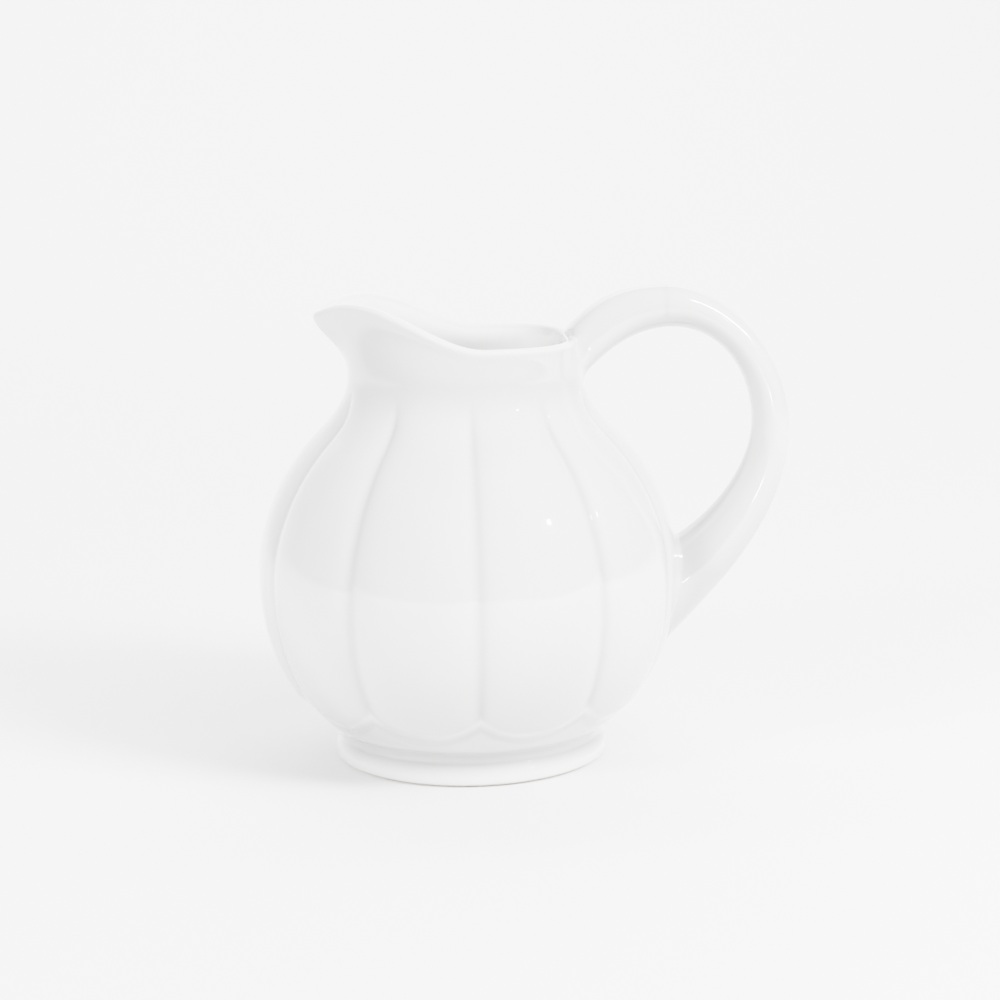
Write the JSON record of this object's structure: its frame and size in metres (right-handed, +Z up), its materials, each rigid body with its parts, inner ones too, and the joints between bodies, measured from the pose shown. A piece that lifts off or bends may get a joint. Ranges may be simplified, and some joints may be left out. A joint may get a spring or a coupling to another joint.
{
  "type": "ceramic pitcher",
  "caption": "Melon-fluted glazed ceramic pitcher with a round belly on a foot ring, a short neck, a rolled lip drawn out into a pinched spout, and an open loop handle.",
  "frame": {"origin": "on the table, under the middle of the jug's whole length and width; the belly's own axis is 20.4 mm from it toward the spout", "axes": "+X from the spout toward the handle, +Y across the jug, +Z up from the table toward the mouth"},
  "size_m": [0.1891, 0.1466, 0.166],
  "materials": {
    "glaze": "glossy clear glaze over a white body",
    "bare_foot": "white body, unglazed where it stands"
  },
  "bodies": {
    "root": {"foot_ring": "bare_foot", "belly": "glaze", "collar_with_spout": "glaze", "handle": "glaze", "upper_handle_terminal": "glaze", "lower_handle_terminal": "glaze"}
  },
  "joints": []
}
